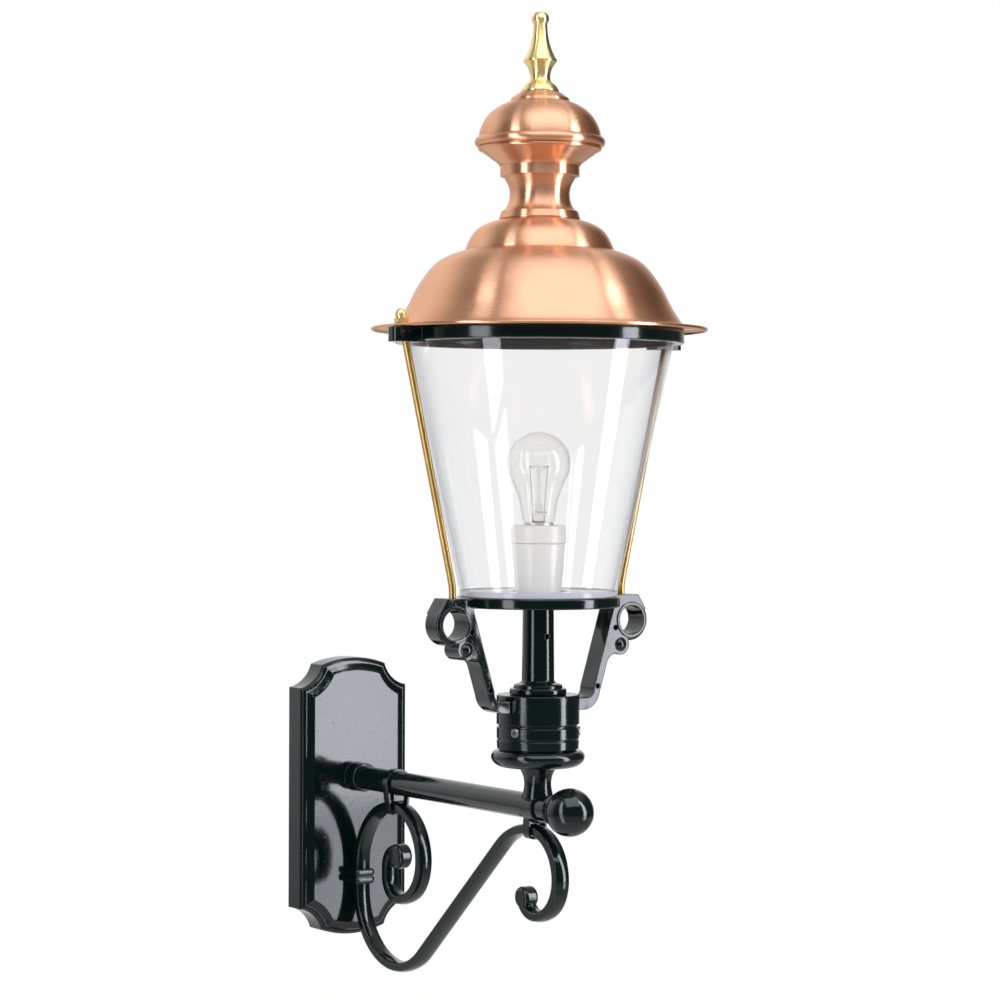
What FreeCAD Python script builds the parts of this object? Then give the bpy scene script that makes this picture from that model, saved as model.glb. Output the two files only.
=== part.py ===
"""Wall lantern: round copper hood over a clear cone, on a cast scroll bracket.

Millimetres. The wall is the plane y = 0, the arm runs along -Y, Z is up.
The origin lies on the wall, midway between the two fixing holes, level with the arm.
"""
import math
import os

import FreeCAD
import Part

V = FreeCAD.Vector
UP = V(0, 0, 1)
OUT = V(0, -1, 0)        # away from the wall

# The arm and the fits
REACH = 343.0            # wall to the lantern's own axis
FIT = 0.05               # radial clearance of a piece seated in another
RUNNING_FIT = 0.05       # radial clearance of the socket cup on its spigot
SWIVEL_GAP = 0.3         # under the socket cup, above the saucer
EASE = 0.8               # chamfer on the edges of turned and cast rings

# Wall plate
PLATE_HALF_WIDTH = 60.5
PLATE_TOP = 117.3
PLATE_BOTTOM = -156.5
PLATE_ARCH_RISE = 6.5
PLATE_ARCH_HALF = 36.0
PLATE_NOTCH_DROP = 22.0
PLATE_NOTCH_SAG = 4.8
PLATE_SIDE = 25.6        # depth of the side wall with its rounded edge
PLATE_EDGE_R = 4.6
PLATE_BORDER = 5.7       # edge to the foot of the outer bevel
BEVEL_OUTER = (4.5, 1.8)  # inset and rise of the outer bevel
BEVEL_INNER = (2.3, 1.4)  # inset and rise of the inner bevel
PLATE_WALL = 5.0
PLATE_SKIN = 3.6         # metal between the hollow and the border
PLATE_FRONT = PLATE_SIDE + BEVEL_OUTER[1] + BEVEL_INNER[1]
FIXING_X = 38.5
FIXING_HOLE_R = 4.0
FIXING_BOSS_R = 8.5
ARM_BOSS_LENGTH = 17.0
ARM_BOSS_EDGE_R = 1.5

# Arm tube, tee and knob
TUBE_R = 11.5
TUBE_WALL = 2.5
TUBE_BORE_R = TUBE_R - TUBE_WALL
TUBE_BACK = 6.0          # the tube's rear end stands this far off the wall
TUBE_FRONT = 24.0        # the tube's front end, past the lantern's axis
BOSS_WALL = 2.5          # metal round the tube in the plate's boss and the tee's hub
BOSS_R = TUBE_R + BOSS_WALL
TEE_HUB_HALF = 8.5
TEE_HUB_EDGE_R = 1.2
TEE_ROOT_R = 14.6
TEE_WAIST_R = 12.2
WIRE_BORE_R = 5.5
KNOB_R = 21.5
KNOB_NECK_R = 10.8
KNOB_RING_R = 13.6
KNOB_RING = 2.8          # thickness of the ring behind the ball
KNOB_STEM = 7.4          # tube's end to the back of the ball
KNOB_PLUG = 10.0
KNOB_BACK = KNOB_STEM + math.sqrt(KNOB_R ** 2 - KNOB_NECK_R ** 2)

# Scroll of flat bar, in the plane of the arm
BAR_WIDTH = 15.0
BAR_THICK = 10.4
BAR_CROWN_R = 18.0       # rounding across the bar's two wide faces
BAR_EDGE_R = 1.6
EYE_EDGE_R = 3.6
SCROLL_GAP = 5.1         # between the plate's field and the upright length
SCROLL_BACK = REACH - PLATE_FRONT - SCROLL_GAP - BAR_THICK / 2   # behind the lantern's axis
REAR_SHOULDER_R = 64.75  # bend from the upright length to the rear coil's crown
REAR_CROWN_R = 48.5
REAR_FRONT_R = 40.0
REAR_FOOT_R = 20.5
REAR_CURL_R = 18.7
REAR_EYE_R = 12.0
REAR_CROWN_Z = -22.5
REAR_COIL_Z = -71.0
REAR_CURL_DROP = 11.0
BELLY_R = 69.0
BELLY_Z = -107.5
CREST_BACK = 6.1         # highest point under the tee, behind the lantern's axis
CREST_Z = -20.6
CREST_REAR_R = 73.8
CREST_FRONT_R = 41.9
FRONT_FOOT_R = 35.6
FRONT_CURL_R = 20.6
FRONT_EYE_R = 10.0
FRONT_EYE_INSET = 3.2    # bar's end to the middle of the front eye
FRONT_EYE_DROP = 5.7
COLLAR_Z = -97.2
COLLAR_BEAD = 7.4        # height of each of the collar's two beads
COLLAR_WALL = 3.0
COLLAR_EDGE_R = 2.6
STRAP_WIDTH = 9.0
STRAP_WALL = 2.2
STRAP_SLACK = 0.3        # under the bar's lowest point inside the strap
STRAP_CORNER_R = 1.8
PACKER_HALF_WIDTH = 6.0
STIRRUP_Y = 4.0          # stirrup's middle, behind the lantern's axis
STIRRUP_WIDTH = 9.0
STIRRUP_WALL = 2.2
STIRRUP_SLACK = 0.3      # round the bar inside the stirrup
STIRRUP_CORNER_R = 3.6

# Saucer, spigot and socket cup
SAUCER_TOP = 51.5
SAUCER_HEIGHT = 15.5
SPIGOT_R = 30.0
SPIGOT_WALL = 7.0
SPIGOT_HEIGHT = 28.5
SPIGOT_TOP = SAUCER_TOP + SPIGOT_HEIGHT
CUP_WALL = 7.4
CUP_R = SPIGOT_R + CUP_WALL
SAUCER_R = CUP_R + 4.9
CUP_BOTTOM = SAUCER_TOP + SWIVEL_GAP
CUP_HEIGHT = 49.9
CUP_TOP = CUP_BOTTOM + CUP_HEIGHT
CUP_ROOF = CUP_TOP - 4.7
SET_SCREW_Z = CUP_BOTTOM + 17.2
SET_SCREW_R = 4.0
SET_SCREW_ANGLES = (-68.0, 52.0, 172.0)   # from the front, towards +X
SET_SCREW_PROUD = 0.7
SET_SCREW_KEY = (4.6, 3.6)   # hexagon socket, across corners and deep

# Clear cone
CONE_WALL = 3.0
CONE_BASE_R = 71.0
CONE_BASE_HEIGHT = 4.6
CONE_FLOOR_HOLE_R = 27.0
CONE_TOP_R = 122.0
CONE_HEIGHT = 232.8

# Lamp pipe and gallery
PIPE_R = 14.5
PIPE_BORE_R = 11.0
PIPE_FLANGE = ((25.7, 5.4), (22.0, 5.0))  # radius and height of the two steps
PIPE_LENGTH = 79.0
PIPE_VENT_R = 2.3
PIPE_VENT_DROP = 26.7    # vent hole, under the gallery
PIPE_THREAD_R = 11.0
PIPE_THREAD_BORE_R = 8.0
PIPE_NUT = (32.0, 5.0)   # across corners and height
GALLERY_BOTTOM = CUP_TOP + PIPE_LENGTH
GALLERY_HEIGHT = 9.2
GALLERY_TOP = GALLERY_BOTTOM + GALLERY_HEIGHT
GALLERY_R = CONE_BASE_R + 2.5
GALLERY_INNER_R = CONE_BASE_R - 7.0
BRIDGE_HALF_WIDTH = 12.0
BRIDGE_TOP = GALLERY_BOTTOM + 5.3
HUB_R = 24.0
CONE_TOP_Z = GALLERY_TOP + CONE_HEIGHT
CONE_FLOOR_Z = GALLERY_TOP + CONE_BASE_HEIGHT

# Frog arms, one on each side
ARM_WIDTH = 22.0
LOOP_X = GALLERY_R + 22.5
LOOP_Z = GALLERY_BOTTOM - 14.0
LOOP_HOLE_R = 13.5
LOOP_R = 19.0
LOOP_EDGE_R = 3.0
LOOP_LIP = (2.6, 1.0)    # lip round the hole, wide and proud
BERRY_X = LOOP_X - 12.0
BERRY_Z = LOOP_Z - 22.2
BERRY_R = 9.5
BERRY_BUTTON_R = 7.0
BERRY_BUTTON_SINK = 3.4
FOOT_BOTTOM = CUP_TOP - 15.1
FOOT_HEIGHT = 10.4
SMALL_HOLE_R = 2.3
LUG_END = LOOP_X + 8.0   # outer end of the lug beside the gallery
FOOT_SCREW_R = 3.0
FOOT_SCREW_Z = FOOT_BOTTOM + FOOT_HEIGHT / 2
FOOT_SCREW_HEAD = (4.4, 4.5)   # radius and height
FOOT_SCREW_TIP = CUP_R + 9.6   # screw's far end, from the lantern's axis

# Lampholder and bulb
HOLDER_FOOT_Z = BRIDGE_TOP + PIPE_NUT[1]
HOLDER_FOOT_R = 20.5
HOLDER_SHOULDER_R = 24.0
HOLDER_RIM_R = 25.0
HOLDER_BODY_HEIGHT = 46.6
HOLDER_RIM_HEIGHT = 16.2
HOLDER_FLOOR_Z = HOLDER_FOOT_Z + 20.0
HOLDER_JOINT_Z = HOLDER_FOOT_Z + HOLDER_BODY_HEIGHT
HOLDER_RIM_Z = HOLDER_JOINT_Z + HOLDER_RIM_HEIGHT
CAP_R = 13.2
CAP_TOP_Z = HOLDER_RIM_Z + 2.2
CAP_HEIGHT = 25.0
CAP_BOTTOM_Z = CAP_TOP_Z - CAP_HEIGHT
CAP_TIP = 4.0            # height of the contact under the cap
SHELL_WALL = 0.6
SHELL_R = CAP_R + SHELL_WALL + 0.6
SHELL_SINK = 4.2         # shell's edge, under the holder's rim
BULB_R = 28.8
BULB_NECK_R = CAP_R + 2.6
BULB_WALL = 0.8
BULB_CENTRE_Z = CAP_TOP_Z + 53.5
STEM_R = 6.0
STEM_TOP_Z = BULB_CENTRE_Z - 4.9
LEAD_R = 0.45
LEAD_SPREAD = 11.0
FILAMENT_R = 0.6

# Top ring, tie rods and cap nuts
TOP_RING_BOTTOM = CONE_TOP_Z - 5.8
TOP_RING_TOP = CONE_TOP_Z + 7.1
TOP_RING_R = CONE_TOP_R + 8.5
TOP_RING_INNER_R = CONE_TOP_R - CONE_WALL - 4.0
TOP_RING_SLACK = 0.4     # round the cone's edge
TOP_LUG_HALF_WIDTH = 8.0
TOP_LUG_CORNER_R = 6.0
TOP_LUG_DROP = 2.0       # lug's underside below the ring's
ROD_R = 3.25
ROD_TOP_X = TOP_RING_R + 15.0   # rod's axis, where it leaves the hood's flange
TOP_LUG_END = ROD_TOP_X + 12.0
ROD_FOOT_X = LOOP_X - 3.7
ROD_FOOT_Z = GALLERY_BOTTOM + 1.8
ROD_BEND_Z = GALLERY_TOP + 10.0
ROD_BEND_R = 40.0
ROD_PROUD = 3.5          # thread above the hood's flange, inside the nut
NUT_ACROSS_CORNERS = 13.2
NUT_HEIGHT = 5.2
NUT_DOME_R = 4.9
NUT_NECK = 3.0

# Copper hood
SHEET = 1.4
RIM_ROLL_R = 1.5
RIM_R = ROD_TOP_X + 6.1
DOME_FOOT_R = ROD_TOP_X - 11.9
TIER_R = 70.0            # end of the dome, where the upper tier steps up
TIER_Z = TOP_RING_TOP + 70.0
NECK_FOOT_R = 36.0
NECK_SEAT_Z = TIER_Z + 28.4
NECK_HEIGHT = 48.6
NECK_BAND = 9.5          # height of the collar band under the crown
NECK_WAIST_R = 27.1
BOWL_SEAT_Z = NECK_SEAT_Z + NECK_HEIGHT
BOWL_HEIGHT = 22.9
CROWN_R = 57.6
SEAM_R = CROWN_R - 2.8    # bowl's upright edge inside the lid's bead
LID_SEAT_Z = BOWL_SEAT_Z + BOWL_HEIGHT
LID_TIER_R = 28.4
LID_TIER_Z = LID_SEAT_Z + 34.5
FINIAL_SEAT_Z = LID_TIER_Z + 9.6
FINIAL_FOOT_R = 17.2
FINIAL_HEIGHT = 72.2
STUD_R = 4.0
STUD_GRIP = 18.0         # stud inside the finial
HOOD_NUT = (15.0, 6.5)   # across corners and height
HOOD_WASHER = (16.0, 2.0)  # radius and thickness

# Drawn curves, as shares of the width and the height between their two ends
DOME_CURVE = (
    (0.063, 0.038), (0.116, 0.105), (0.198, 0.219), (0.336, 0.471),
    (0.481, 0.681), (0.635, 0.840), (0.833, 0.945),
)
TIER_CURVE = ((0.099, 0.274), (0.260, 0.569), (0.618, 0.855))
WAIST_LOWER_CURVE = ((0.603, 0.275), (0.904, 0.656))
WAIST_UPPER_CURVE = ((0.050, 0.270), (0.290, 0.550), (0.720, 0.820))
BOWL_CURVE = ((0.120, 0.200), (0.340, 0.400), (0.560, 0.610), (0.790, 0.810))
LID_CURVE = ((0.020, 0.112), (0.129, 0.373), (0.328, 0.633), (0.600, 0.830))
LID_TOP_CURVE = ((0.391, 0.4375),)


def outline(start, *steps):
    """Closed wire in XZ: a point is a line, a pair of points an arc, a list a curve."""
    here = V(start[0], 0, start[1])
    first = here
    edges = []
    for step in steps:
        if isinstance(step, list):
            points = [V(x, 0, z) for x, z in step]
            curve = Part.BSplineCurve()
            curve.interpolate([here] + points)
            edges.append(curve.toShape())
            here = points[-1]
        elif isinstance(step[0], tuple):
            middle, end = (V(x, 0, z) for x, z in step)
            edges.append(Part.Arc(here, middle, end).toShape())
            here = end
        else:
            end = V(step[0], 0, step[1])
            edges.append(Part.makeLine(here, end))
            here = end
    if here.distanceToPoint(first) > 1e-6:
        edges.append(Part.makeLine(here, first))
    return Part.Wire(Part.__sortEdges__(edges))


def drawn(low, high, shares):
    """Points of a drawn curve between two corners, the first left out."""
    wide, tall = high[0] - low[0], high[1] - low[1]
    return [(low[0] + u * wide, low[1] + v * tall) for u, v in shares] + [high]


def under(points, thick):
    """The inner side of a rising curve of sheet metal, run backwards."""
    last = len(points) - 1
    inner = []
    for i, (x, z) in enumerate(points):
        before, after = points[max(i - 1, 0)], points[min(i + 1, last)]
        run, rise = after[0] - before[0], after[1] - before[1]
        step = thick / math.hypot(run, rise)
        inner.append((x - step * rise, z + step * run))
    return inner[::-1]


def turned(start, *steps):
    """A turned piece on the lantern's axis, from its half section."""
    piece = Part.Face(outline(start, *steps)).revolve(V(0, 0, 0), UP, 360)
    piece.translate(V(0, -REACH, 0))
    return piece


def slab(wire, width, middle_y):
    """A piece of even width along Y, from its outline in XZ."""
    wire.translate(V(0, middle_y - width / 2, 0))
    return Part.Face(wire).extrude(V(0, width, 0))


def bar(radius, start, end):
    """A round bar between two points."""
    way = end - start
    return Part.makeCylinder(radius, way.Length, start, way)


def post(radius, low, high):
    """A round bar on the lantern's axis, between two heights."""
    return bar(radius, V(0, -REACH, low), V(0, -REACH, high))


def box(x, y, z):
    """A box from three pairs of limits."""
    size = (x[1] - x[0], y[1] - y[0], z[1] - z[0])
    return Part.makeBox(*size, V(x[0], y[0], z[0]))


def hexagon(across_corners, height, base):
    """An upright hexagonal prism."""
    radius = across_corners / 2
    turns = [math.radians(60 * i + 30) for i in range(7)]
    points = [base + V(radius * math.cos(t), radius * math.sin(t), 0) for t in turns]
    return Part.Face(Part.makePolygon(points)).extrude(V(0, 0, height))


def mirrored(shape):
    """The same piece on the other side of the arm."""
    return shape.mirror(V(0, 0, 0), V(1, 0, 0))


def plate_wire(inset, depth):
    """The wall plate's outline, drawn in by a margin, at a depth off the wall."""
    half, arch = PLATE_HALF_WIDTH, PLATE_ARCH_HALF
    middle = (PLATE_TOP + PLATE_BOTTOM) / 2
    shoulder = (PLATE_TOP - PLATE_BOTTOM) / 2 - PLATE_ARCH_RISE
    side = shoulder - PLATE_NOTCH_DROP
    chord = math.hypot(half - arch, PLATE_NOTCH_DROP)
    notch_x = (half + arch) / 2 - PLATE_NOTCH_SAG * PLATE_NOTCH_DROP / chord
    notch_z = (shoulder + side) / 2 - PLATE_NOTCH_SAG * (half - arch) / chord
    wire = outline(
        (half, middle - side),
        (half, middle + side),
        ((notch_x, middle + notch_z), (arch, middle + shoulder)),
        ((0, PLATE_TOP), (-arch, middle + shoulder)),
        ((-notch_x, middle + notch_z), (-half, middle + side)),
        (-half, middle - side),
        ((-notch_x, middle - notch_z), (-arch, middle - shoulder)),
        ((0, PLATE_BOTTOM), (arch, middle - shoulder)),
        ((notch_x, middle - notch_z), (half, middle - side)),
    )
    if inset:
        wire = wire.makeOffset2D(-inset, 2)
    wire.translate(V(0, -depth, 0))
    return wire


def wall_plate():
    """Cast plate: hollow behind, rounded edge, stepped face in front, boss for the arm."""
    middle, depth = PLATE_BORDER + BEVEL_OUTER[0], PLATE_SIDE + BEVEL_OUTER[1]
    field = middle + BEVEL_INNER[0]
    straight = PLATE_SIDE - PLATE_EDGE_R
    rings = []
    for turn in (0, 22.5, 45, 67.5, 90):
        t = math.radians(turn)
        inset, rise = PLATE_EDGE_R * (1 - math.cos(t)), PLATE_EDGE_R * math.sin(t)
        rings.append(plate_wire(inset, straight + rise))
    body = Part.Face(plate_wire(0, 0)).extrude(OUT * straight)
    edge = Part.makeLoft(rings, True, True)
    outer = Part.makeLoft([plate_wire(PLATE_BORDER, PLATE_SIDE), plate_wire(middle, depth)], True, True)
    inner = Part.makeLoft([plate_wire(middle, depth), plate_wire(field, PLATE_FRONT)], True, True)
    body = body.fuse([edge, outer, inner])
    hollow = PLATE_SIDE - PLATE_SKIN
    body = body.cut(Part.Face(plate_wire(PLATE_WALL, 0)).extrude(OUT * hollow))
    boss_end = PLATE_FRONT + ARM_BOSS_LENGTH
    boss = bar(BOSS_R, OUT * TUBE_BACK, OUT * boss_end)
    rim = [edge for edge in boss.Edges if abs(edge.CenterOfMass.y + boss_end) < 0.01]
    added = [boss.makeFillet(ARM_BOSS_EDGE_R, rim)]
    holes = [bar(TUBE_R + FIT, V(0, 0, 0), OUT * boss_end)]
    for side in (-FIXING_X, FIXING_X):
        foot = V(side, 0, 0)
        added.append(bar(FIXING_BOSS_R, foot, foot + OUT * depth))
        holes.append(bar(FIXING_HOLE_R, foot, foot + OUT * PLATE_FRONT))
    return body.fuse(added).cut(holes).removeSplitter()


def arm_tube():
    """Straight tube from the plate's hollow through the tee to the knob."""
    ends = (OUT * TUBE_BACK, OUT * (REACH + TUBE_FRONT))
    tube = bar(TUBE_R, *ends).cut(bar(TUBE_BORE_R, *ends))
    return tube.cut(post(WIRE_BORE_R, 0, BOSS_R))


def band(half, foot, corner, head):
    """Inside outline of a band: straight sides under a head, and a round-cornered floor."""
    bow = corner * (1 - math.sqrt(0.5))
    heel = foot + corner
    return head + [
        (half, heel),
        ((half - bow, foot + bow), (half - corner, foot)),
        (-half + corner, foot),
        ((-half + bow, foot + bow), (-half, heel)),
    ]


def stirrup():
    """Block under the tee's hub, with the slot that carries the scroll."""
    half = BAR_WIDTH / 2 + STIRRUP_SLACK
    ahead = CREST_BACK - STIRRUP_Y + STIRRUP_WIDTH / 2
    soffit = CREST_FRONT_R - BAR_THICK / 2
    foot = CREST_Z - CREST_FRONT_R + math.sqrt(soffit ** 2 - ahead ** 2) - STIRRUP_SLACK
    top = CREST_Z + BAR_THICK / 2 + STIRRUP_SLACK
    slot = outline(*band(half, foot, STIRRUP_CORNER_R, [(-half, top), (half, top)]))
    block = outline(*band(half, foot, STIRRUP_CORNER_R, [(-half, -TUBE_R), (half, -TUBE_R)]))
    middle = STIRRUP_Y - REACH
    return slab(block.makeOffset2D(STIRRUP_WALL), STIRRUP_WIDTH, middle).cut(
        slab(slot, STIRRUP_WIDTH, middle)
    )


def bracket_tee():
    """One casting: hub on the tube, stirrup below, vase neck, saucer and spigot."""
    root = TUBE_R - 3.5
    low = SAUCER_TOP - SAUCER_HEIGHT
    upright = turned(
        (0, root),
        (TEE_ROOT_R, root),
        [(TEE_ROOT_R - 1.2, TUBE_R + 1.6), (TEE_WAIST_R, low - 16.0), (TEE_WAIST_R + 0.4, low - 10.0),
         (TEE_WAIST_R + 2.0, low - 5.2), (TEE_WAIST_R + 5.6, low)],
        (SAUCER_R - 13.3, low + 0.6),
        [(SAUCER_R - 5.8, SAUCER_TOP - 13.5), (SAUCER_R - 1.0, SAUCER_TOP - 9.1),
         (SAUCER_R, SAUCER_TOP - 5.5), (SAUCER_R - 1.3, SAUCER_TOP - 2.1),
         (SAUCER_R - 4.3, SAUCER_TOP)],
        (SPIGOT_R, SAUCER_TOP),
        (SPIGOT_R, SPIGOT_TOP - 2),
        (SPIGOT_R - 2, SPIGOT_TOP),
        (0, SPIGOT_TOP),
    )
    hub = bar(BOSS_R, OUT * (REACH - TEE_HUB_HALF), OUT * (REACH + TEE_HUB_HALF))
    rims = [edge for edge in hub.Edges if abs(edge.CenterOfMass.y + REACH) > TEE_HUB_HALF - 0.1]
    body = upright.fuse([hub.makeFillet(TEE_HUB_EDGE_R, rims), stirrup()])
    span = SAUCER_R
    tube_hole = bar(TUBE_R + FIT, OUT * (REACH - span), OUT * (REACH + span))
    floor = SAUCER_TOP + 4.5
    hollow = post(SPIGOT_R - SPIGOT_WALL, floor, SPIGOT_TOP)
    return body.cut([tube_hole, hollow, post(WIRE_BORE_R, 0, floor)]).removeSplitter()


def ball_knob():
    """Turned ball with ring and plug, closing the tube's front end."""
    back = KNOB_BACK
    ring_foot = KNOB_RING_R - 1.2
    knob = Part.Face(outline(
        (0, -back - KNOB_PLUG),
        (TUBE_BORE_R - FIT, -back - KNOB_PLUG),
        (TUBE_BORE_R - FIT, -back),
        (ring_foot, -back),
        ((KNOB_RING_R, -back + KNOB_RING / 2), (ring_foot, -back + KNOB_RING)),
        (KNOB_NECK_R, -back + KNOB_RING + 1.2),
        (KNOB_NECK_R, KNOB_STEM - back),
        ((KNOB_R, 0), (0, KNOB_R)),
    )).revolve(V(0, 0, 0), UP, 360)
    knob.rotate(V(0, 0, 0), V(1, 0, 0), 90)
    knob.translate(OUT * (REACH + TUBE_FRONT + back))
    return knob


def arc_on(centre, radius, start_deg, end_deg):
    """An arc in the plane of the arm; angles run from the wall upwards."""
    points = []
    for turn in (start_deg, (start_deg + end_deg) / 2, end_deg):
        t = math.radians(turn)
        y = centre[0] + radius * math.cos(t) - REACH
        points.append(V(0, y, centre[1] + radius * math.sin(t)))
    return Part.Arc(*points).toShape()


def join(first, second):
    """A straight length between the ends of two curves."""
    start = first.valueAt(first.LastParameter)
    return Part.makeLine(start, second.valueAt(second.FirstParameter))


def rear_crown_back():
    """Distance of the rear coil's crown behind the lantern's axis."""
    return SCROLL_BACK - REAR_SHOULDER_R


def scroll_path():
    """Centre line of the bar, as arcs and straights from the rear eye to the front eye."""
    crown = rear_crown_back()
    front = crown - REAR_CROWN_R + REAR_FRONT_R
    foot = REAR_COIL_Z - REAR_FRONT_R
    curl = (front + REAR_FOOT_R - REAR_CURL_R, REAR_COIL_Z - REAR_CURL_DROP)
    belly_at = (SCROLL_BACK - BELLY_R, BELLY_Z)
    crest_at = (CREST_BACK, CREST_Z - CREST_REAR_R)
    run, rise = crest_at[0] - belly_at[0], crest_at[1] - belly_at[1]
    turn = math.atan2(rise, run) + math.acos((BELLY_R + CREST_REAR_R) / math.hypot(run, rise))
    lean = math.degrees(turn)
    tip = CREST_BACK - CREST_FRONT_R + FRONT_FOOT_R
    coil_z = CREST_Z - CREST_FRONT_R
    rear_curl = arc_on(curl, REAR_CURL_R, 90, 0)
    rear_foot = arc_on((front, foot + REAR_FOOT_R), REAR_FOOT_R, 0, -90)
    rear_front = arc_on((front, REAR_COIL_Z), REAR_FRONT_R, 270, 180)
    rear_crown = arc_on((crown, REAR_COIL_Z), REAR_CROWN_R, 180, 90)
    rear_back = arc_on((crown, REAR_CROWN_Z - REAR_SHOULDER_R), REAR_SHOULDER_R, 90, 0)
    belly = arc_on(belly_at, BELLY_R, 0, lean - 360)
    crest_back = arc_on(crest_at, CREST_REAR_R, lean - 180, 90)
    crest_front = arc_on((CREST_BACK, coil_z), CREST_FRONT_R, 90, 180)
    front_foot = arc_on((tip, coil_z), FRONT_FOOT_R, 180, 270)
    front_curl = arc_on((tip, coil_z - FRONT_FOOT_R + FRONT_CURL_R), FRONT_CURL_R, -90, 0)
    edges = [
        rear_curl, join(rear_curl, rear_foot), rear_foot, rear_front, rear_crown, rear_back,
        join(rear_back, belly), belly, join(belly, crest_back), crest_back, crest_front,
        front_foot, front_curl,
    ]
    return [edge for edge in edges if edge.Length > 1e-4]


def bar_section():
    """Section of the bar: crowned wide faces, rounded edges, narrow flat sides."""
    wide, high = BAR_WIDTH / 2, BAR_THICK / 2
    near = wide - BAR_EDGE_R
    sunk = BAR_CROWN_R - high
    rise = math.sqrt((BAR_CROWN_R - BAR_EDGE_R) ** 2 - near ** 2)
    flat = rise - sunk
    grow = BAR_CROWN_R / (BAR_CROWN_R - BAR_EDGE_R)
    touch = (near * grow, rise * grow - sunk)
    half_turn = (math.pi / 2 - math.atan2(near, rise)) / 2
    knee = (near + BAR_EDGE_R * math.cos(half_turn), flat + BAR_EDGE_R * math.sin(half_turn))
    return outline(
        (wide, -flat),
        (wide, flat),
        (knee, touch),
        ((0, high), (-touch[0], touch[1])),
        ((-knee[0], knee[1]), (-wide, flat)),
        (-wide, -flat),
        ((-knee[0], -knee[1]), (-touch[0], -touch[1])),
        ((0, -high), (touch[0], -touch[1])),
        ((knee[0], -knee[1]), (wide, -flat)),
    )


def eye(radius, middle):
    """Round end of the bar, with softened rims."""
    piece = Part.makeCylinder(radius, BAR_WIDTH, middle - V(BAR_WIDTH / 2, 0, 0), V(1, 0, 0))
    rims = [edge for edge in piece.Edges if abs(abs(edge.CenterOfMass.x) - BAR_WIDTH / 2) < 0.01]
    return piece.makeFillet(EYE_EDGE_R, rims)


def bar_length(line):
    """One length of the bar, bent along an arc or straight."""
    way = line.tangentAt(line.FirstParameter)
    end = Part.Face(bar_section())
    end.rotate(V(0, 0, 0), V(1, 0, 0), math.degrees(math.atan2(way.z, way.y)))
    end.translate(line.valueAt(line.FirstParameter))
    if isinstance(line.Curve, Part.Circle):
        turn = math.degrees(line.LastParameter - line.FirstParameter)
        return end.revolve(line.Curve.Center, line.Curve.Axis, turn)
    return end.extrude(way * line.Length)


def scroll():
    """Flat bar bent into an S, with a round eye forged at each end."""
    path = scroll_path()
    rear_end = path[0].valueAt(path[0].FirstParameter)
    front_end = path[-1].valueAt(path[-1].LastParameter)
    lengths = [bar_length(line) for line in path]
    rear_eye = eye(REAR_EYE_R, rear_end + V(0, 0, BAR_THICK / 2 - REAR_EYE_R))
    front_eye = eye(FRONT_EYE_R, front_end - V(0, FRONT_EYE_INSET, FRONT_EYE_DROP))
    return lengths[0].fuse(lengths[1:] + [rear_eye, front_eye]).removeSplitter()


def scroll_collar():
    """Band of two beads round the bar, with a pad that seats on the wall plate's field."""
    middle = SCROLL_BACK - REACH
    front = middle - BAR_THICK / 2 - COLLAR_WALL
    half_x, half_y = BAR_WIDTH / 2 + FIT, BAR_THICK / 2 + FIT
    width = (-half_x - COLLAR_WALL, half_x + COLLAR_WALL)
    beads = []
    for low in (COLLAR_Z - COLLAR_BEAD, COLLAR_Z):
        bead = box(width, (front, -PLATE_FRONT), (low, low + COLLAR_BEAD))
        loose = [edge for edge in bead.Edges if edge.CenterOfMass.y < -PLATE_FRONT - 0.5]
        beads.append(bead.makeFillet(COLLAR_EDGE_R, loose))
    height = (COLLAR_Z - COLLAR_BEAD, COLLAR_Z + COLLAR_BEAD)
    slot = box((-half_x, half_x), (middle - half_y, middle + half_y), height)
    upright = [edge for edge in slot.Edges if abs(edge.tangentAt(edge.FirstParameter).z) > 0.9]
    return beads[0].fuse(beads[1]).cut(slot.makeFillet(BAR_EDGE_R, upright))


def rear_strap():
    """Thin band drawn round the tube and the scroll's crown."""
    radius = TUBE_R + FIT
    half = BAR_WIDTH / 2 + STRAP_SLACK
    foot = REAR_CROWN_Z - BAR_THICK / 2 - STRAP_SLACK
    heel = foot + STRAP_CORNER_R
    lean = math.atan2(heel, half) + math.acos(radius / math.hypot(heel, half))
    touch = (radius * math.cos(lean), radius * math.sin(lean))
    head = [(-touch[0], touch[1]), ((0, radius), touch)]
    inner = outline(*band(half, foot, STRAP_CORNER_R, head))
    outer = inner.makeOffset2D(STRAP_WALL)
    middle = rear_crown_back() - REACH
    return slab(outer, STRAP_WIDTH, middle).cut(slab(inner, STRAP_WIDTH, middle))


def strap_packer():
    """Small saddle between the tube and the scroll, held by the strap."""
    middle = rear_crown_back() - REACH
    half = STRAP_WIDTH / 2 - 0.5
    depth = (middle - half, middle + half)
    top_of_bar = REAR_CROWN_Z + BAR_THICK / 2
    block = box((-PACKER_HALF_WIDTH, PACKER_HALF_WIDTH), depth, (top_of_bar, 3.5 - TUBE_R))
    return block.cut(bar(TUBE_R, V(0, depth[0], 0), V(0, depth[1], 0)))


def set_screw_way(angle_deg):
    """Unit vector outwards from the lantern's axis; 0 is the front."""
    t = math.radians(angle_deg)
    return V(math.sin(t), -math.cos(t), 0)


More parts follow.
